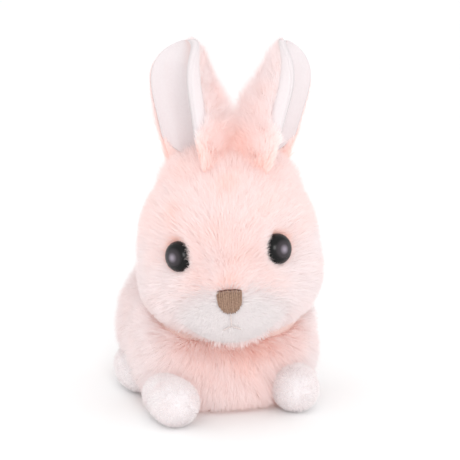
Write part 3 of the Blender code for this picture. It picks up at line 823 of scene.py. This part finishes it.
def ear_width(v):
    """Half the ear's width at a share v of its length, as a share of the widest."""
    rest = np.clip((v - EAR_WIDEST) / (1 - EAR_WIDEST), 0, 1)
    above = np.sqrt(np.maximum(EAR_TIP_WIDTH ** 2, 1 - rest ** EAR_BLUNTNESS))
    below = 1 - EAR_NARROWING * ((EAR_WIDEST - v) / EAR_WIDEST) ** 2
    return np.where(v > EAR_WIDEST, above, below)


def ear_point(u, v, offset):
    """A point of the cupped ear: u runs across it from -1 to 1, v along it, offset behind it."""
    bend = EAR_BEND + EAR_OPENING * v
    angle = EAR_HALF_WIDTH * ear_width(v) * u / bend
    return np.stack([
        (bend + offset) * np.sin(angle),
        (bend + offset) * np.cos(angle) - EAR_SET_BACK * bend - EAR_CURL * v * v,
        EAR_LENGTH * v,
    ], axis=-1)


def ear_ways(u, v):
    """Unit vectors across the ear and along it to its tip."""
    step = 1e-3
    across = ear_point(u + step, v, 0 * v) - ear_point(u - step, v, 0 * v)
    up = ear_point(u, v + step, 0 * v) - ear_point(u, v - step, 0 * v)
    return unit(across), unit(up)


def lip_start(v):
    """Where across the ear the rolled edge starts: it runs out towards the foot."""
    return LIP_START + 0.3 * (1 - fade(v, 0.05, 0.4))


def lining_share(v):
    """How much of the ear's width the white lining shows across."""
    return fade(v, -0.3, 0.2)


def ear_sheet(offset_of, top=1.0, wide=lambda v: 1.0, columns=40, rows=48):
    """A closed leaf between two offsets, each a function of u and v, up to a share of the
    ear's length and over a share of its width."""
    u, s = np.meshgrid(np.linspace(-1, 1, columns + 1), np.linspace(0, 1, rows + 1))
    v = np.sin(math.pi / 2 * s) * top
    u = u * wide(v)
    sheets = [ear_point(u, v, offset(u, v)).reshape(-1, 3) for offset in offset_of]
    step = columns + 1
    faces = []
    for i in range(rows):
        for j in range(columns):
            a = i * step + j
            faces += [[a, a + 1, a + step + 1], [a, a + step + 1, a + step]]
    faces = np.array(faces)
    half = len(sheets[0])
    rim = [i * step for i in range(rows)] + [rows * step + j for j in range(columns)]
    rim += [i * step + columns for i in range(rows, 0, -1)] + list(range(columns, 0, -1))
    walls = []
    for a, b in zip(rim, rim[1:] + rim[:1]):
        walls += [[a, b, b + half], [a, b + half, a + half]]
    uv = np.stack([(u.reshape(-1) + 1) / 2, v.reshape(-1)], axis=-1) * 0.98 + 0.01
    faces = np.concatenate([faces, faces[:, ::-1] + half, np.array(walls)])
    return np.concatenate(sheets), faces, np.concatenate([uv, uv])


def add_ear_back(name, matrix):
    """The cloth that the ear's fur grows from, a little smaller than the ear."""
    body = f"ear_{name}"
    points, faces, _ = ear_sheet((lambda u, v: 0.1 * MM + 0 * u,
                                  lambda u, v: 1.0 * MM + 0 * u), 0.95, lambda v: 0.95)
    skin = mesh_piece(f"ear_{name}_back", place(points, matrix), faces, "pink_backing", body)
    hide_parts(f"ear_{name}_fur")


def add_ear_lining(name, side, matrix):
    def padding(u, v):
        """The lining is padded to both sides of a soft groove along its middle."""
        groove = np.exp(-(((u * side + GROOVE) / 0.2) ** 2)) * fade(1 - v, 0, 0.3)
        edge = fade(1 - np.abs(u), 0, 0.3) * fade(1 - v, 0, 0.2)
        return -(EAR_LINING * 0.6 + 2.2 * MM * (1 - 0.7 * groove) * edge)

    def lip(u, v):
        """Its front edge is rolled outwards, over the pink fur."""
        start = lip_start(v)
        rolled = fade(-u * side, start - 0.12, start + 0.04) * fade(v, 0.06, 0.3)
        return -0.1 * MM + 2.4 * MM * rolled

    body = f"ear_{name}"
    points, faces, uv = ear_sheet((padding, lip), wide=lambda v: 0.15 + 0.85 * lining_share(v))
    uv[:, 0] = 0.5 - side * (uv[:, 0] - 0.5)  # U grows towards the front edge
    lining = mesh_piece(f"ear_{name}_inside", place(points, matrix), faces, "lining", body, uv)
    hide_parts(f"ear_{name}_lining")


def grow_ear_fur(name, side, matrix, rng):
    """Fur up the back of the ear, and round its edges on to the front near the foot."""
    v = rng.uniform(-0.12, 1, EAR_HAIRS * 2)
    u = rng.uniform(-1, 1, EAR_HAIRS * 2)
    keep = rng.random(EAR_HAIRS * 2) < ear_width(v)
    keep &= -u * side < lip_start(v)
    keep &= v < 0.97
    u, v = u[keep][:EAR_HAIRS], v[keep][:EAR_HAIRS]
    front = np.abs(u) > lining_share(v)
    front &= rng.random(len(u)) < 0.55
    outer = fade(u * side, 0.2, 0.8)
    low = 1 - fade(v, 0.2, 0.75)
    outward, tipward = ear_ways(u, v)
    out = unit(np.cross(tipward, outward)) * np.where(front, -1, 1)[:, None]
    at = ear_point(u, v, np.where(front, -0.5 * MM, 0.9 * MM))
    spread_out = np.where(front, -0.5 * np.sign(u), 0.4 * u * np.abs(u)) * (1 - 0.6 * outer)
    lay = unit(tipward + outward * spread_out[:, None])
    length = (7.0 + 4.0 * low) * MM * (1 - 0.5 * outer) * (1 - 0.5 * fade(v, 0.75, 1))
    length *= np.where(front, 0.38, 1 - (0.7 - 0.25 * low) * fade(-u * side, 0.3, 0.9))
    fluff = low * (1 - u * u) * np.where(front, 0, 1)
    tones = 0.8 + 0.18 * v - 0.25 * (1 - fade(v, -0.02, 0.3))
    tones += 0.06 * waves(at, 12 * MM, SEED + 8)[:, 0]
    coat(f"ear_{name}_pile", place(at, matrix), turn(out, matrix), turn(lay, matrix), length,
         FUR_WIDTH, tones, "ear_hair", f"ear_{name}", rng,
         lift=(ROOT_LIFT + 0.25 * fluff, TIP_LIFT + 0.25 * fluff))


def build_ears():
    """Both ears. side is 1 for the bunny's left one and -1 for its right one."""
    rng = np.random.default_rng(SEED + 20)
    for name, (foot, lean, opening) in EARS.items():
        side = 1 if name == "left" else -1
        turned = Matrix.Rotation(side * lean, 4, "Y") @ Matrix.Rotation(side * opening, 4, "Z")
        matrix = HEAD_FRAME @ Matrix.Translation(foot) @ turned
        add_ear_back(name, matrix)
        add_ear_lining(name, side, matrix)
        grow_ear_fur(name, side, matrix, rng)


# ---------------------------------------------------------------- body and limbs


def body_lay(points, normals):
    """Fur on the body runs back over the top and sides, and down the front and rump."""
    rear = fade(points[:, 1], 12 * MM, 40 * MM)
    down = np.stack([0 * rear, 0.7 - 0.6 * rear, -0.8 + 0 * rear], axis=-1)
    return along(down, normals)


def build_body():
    rng = np.random.default_rng(SEED + 30)
    ways, faces = sphere(6)
    skin = surface(ways, BODY_CENTRE, BODY_LUMPS)
    normals = slope(skin, BODY_LUMPS)
    backing = below_neck(skin - normals * ROOT_DEPTH, 0.4 * MM)
    backing[:, 2] = np.maximum(backing[:, 2], 0.05 * MM)
    body = mesh_piece("body_skin", backing, faces, "pink_backing", "body")
    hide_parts("body_side_left", "body_side_right", "belly_panel", "body_stuffing",
                "pellet_pouch")

    at = spread(skin, faces, BODY_HAIRS, rng)
    out = slope(at, BODY_LUMPS)
    seam = (at - NECK_POINT) @ NECK_NORMAL
    keep = (seam < -0.5 * MM) & (at[:, 2] > 0.6 * MM)
    at, out, seam = at[keep], out[keep], seam[keep]
    length = np.full(len(at), FUR_LENGTH)
    tones = 0.76 + 0.06 * waves(at, 16 * MM, SEED + 5)[:, 0]
    tones += 0.18 * fade(np.abs(at[:, 0]), 16 * MM, 32 * MM)
    front = fade(-at[:, 1], 0, 14 * MM)
    middle = np.exp(-((at[:, 0] / (24 * MM)) ** 2))
    # painted shade: the chest's fur is deeper under the chin, in the crease at the neck
    tones -= 0.24 * fade(seam, -14 * MM, -3 * MM) * front * middle
    root = at - out * ROOT_START
    root[:, 2] = np.maximum(root[:, 2], FLOOR_CLEARANCE)
    collar = fade(seam, -7 * MM, -1 * MM)
    coat("body_fur", root, out, body_lay(at, out), length, FUR_WIDTH, tones, "pink_hair", "body",
         rng, lift=(ROOT_LIFT + 0.5 * collar, TIP_LIFT + 0.6 * collar),
         limit=(BODY_LUMPS, Matrix.Identity(4), PILE_HEIGHT + RUFF_HEIGHT * collar))


def white_limb(name, lumps, middle, matrix, body, nodes, hairs, length, seed, lift=(0.85, 0.7)):
    """A stuffed limb of short white plush."""
    rng = np.random.default_rng(SEED + seed)
    ways, faces = sphere(5)
    skin = surface(ways, middle, lumps, LIMB_MELT)
    normals = slope(skin, lumps, LIMB_MELT)
    shaped = place(skin - normals * 0.6 * MM, matrix)
    shaped[:, 2] = np.maximum(shaped[:, 2], 0.3 * MM)
    piece = mesh_piece(f"{name}_plush", shaped, faces, "white_backing", body)
    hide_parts(*nodes)
    at = spread(skin, faces, hairs, rng)
    out = slope(at, lumps, LIMB_MELT)
    lay = along(np.array([0, 0.6, -0.3]) + waves(at, 9 * MM, SEED + seed) * 0.5, out)
    root = place(at - out * 0.7 * MM, matrix)
    root[:, 2] = np.maximum(root[:, 2], FLOOR_CLEARANCE)
    tones = 0.55 + 0.2 * waves(at, 10 * MM, SEED + seed + 1)[:, 0]
    coat(f"{name}_pile", root, turn(out, matrix), turn(lay, matrix),
         np.full(len(at), length), FUZZ_WIDTH, tones, "white_hair", body, rng,
         lift=lift, clump=0.05)


def paw_lumps():
    half = PAW_LENGTH / 2 - PAW_RADII[1]
    rx, ry, rz = PAW_RADII
    return [
        ball(0, -half, rz, rx, ry, rz),
        ball(0, 0, rz * 0.97, rx * 0.94, ry, rz * 0.94),
        ball(0, half, rz * 0.95, rx * 0.9, ry, rz * 0.9),
    ]


def build_limbs():
    for i, (name, (spot, toe_in)) in enumerate(PAWS.items()):
        matrix = Matrix.Translation(spot) @ Matrix.Rotation(toe_in, 4, "Z")
        nodes = (f"front_paw_{name}_skin", f"front_paw_{name}_stuffing")
        middle = np.array([0, 0, PAW_RADII[2] * MM])
        white_limb(f"front_paw_{name}", paw_lumps(), middle, matrix, f"paw_{name}", nodes,
                   PAW_HAIRS, PLUSH_LENGTH, 40 + i)
    for i, (name, side) in enumerate((("left", 1), ("right", -1))):
        x, y, z = FOOT_CENTRE
        lumps = [ball(side * x, y, z, *FOOT_RADII)]
        nodes = (f"hind_foot_{name}_skin", f"hind_foot_{name}_stuffing")
        white_limb(f"hind_foot_{name}", lumps, lumps[0][0], Matrix.Identity(4), "body", nodes,
                   FOOT_HAIRS, PLUSH_LENGTH, 50 + i)
    lumps = [ball(*TAIL_CENTRE, *TAIL_RADII)]
    white_limb("tail", lumps, lumps[0][0], Matrix.Identity(4), "tail",
               ("tail_skin", "tail_stuffing"), TAIL_HAIRS, TAIL_LENGTH, 60, lift=(0.35, 0.15))


# ---------------------------------------------------------------- studio


def build_light():
    """One softbox behind and above the camera, a little to its right."""
    data = bpy.data.lights.new("front", "AREA")
    data.shape = "RECTANGLE"
    data.size, data.size_y = LIGHT_SIZE
    data.energy = LIGHT_POWER
    light = bpy.data.objects.new("front", data)
    light.location = LIGHT_AT
    away = Vector(LIGHT_AT) - Vector(LIGHT_TARGET)
    light.rotation_euler = away.to_track_quat("Z", "Y").to_euler()
    bpy.context.scene.collection.objects.link(light)


def build_camera():
    back = Vector((
        math.sin(CAMERA_AZIMUTH) * math.cos(CAMERA_ELEVATION),
        -math.cos(CAMERA_AZIMUTH) * math.cos(CAMERA_ELEVATION),
        math.sin(CAMERA_ELEVATION),
    ))
    camera = bpy.data.objects.new("camera", bpy.data.cameras.new("camera"))
    camera.data.lens = CAMERA_LENS
    camera.data.clip_start = 0.01
    camera.location = CAMERA_TARGET + back * CAMERA_DISTANCE
    camera.rotation_euler = back.to_track_quat("Z", "Y").to_euler()
    bpy.context.scene.collection.objects.link(camera)
    bpy.context.scene.camera = camera


def build_studio():
    scene = bpy.context.scene
    scene.view_settings.view_transform = "Standard"
    world = bpy.data.worlds.new("studio")
    world.use_nodes = True
    background = world.node_tree.nodes["Background"]
    background.inputs["Color"].default_value = (1, 1, 1, 1)
    background.inputs["Strength"].default_value = WORLD_STRENGTH
    scene.world = world

    floor_mesh = bpy.data.meshes.new("floor")
    far = FLOOR_HALF_SIZE
    corners = [(-far, -far, 0), (far, -far, 0), (far, far, 0), (-far, far, 0)]
    floor_mesh.from_pydata(corners, [], [(0, 1, 2, 3)])
    floor_mesh.materials.append(plain("floor_paper", FLOOR_COLOUR, 0.9))
    floor = bpy.data.objects.new("floor", floor_mesh)
    scene.collection.objects.link(floor)

    build_light()
    build_camera()


build_head()
build_ears()
build_body()
build_limbs()
build_studio()
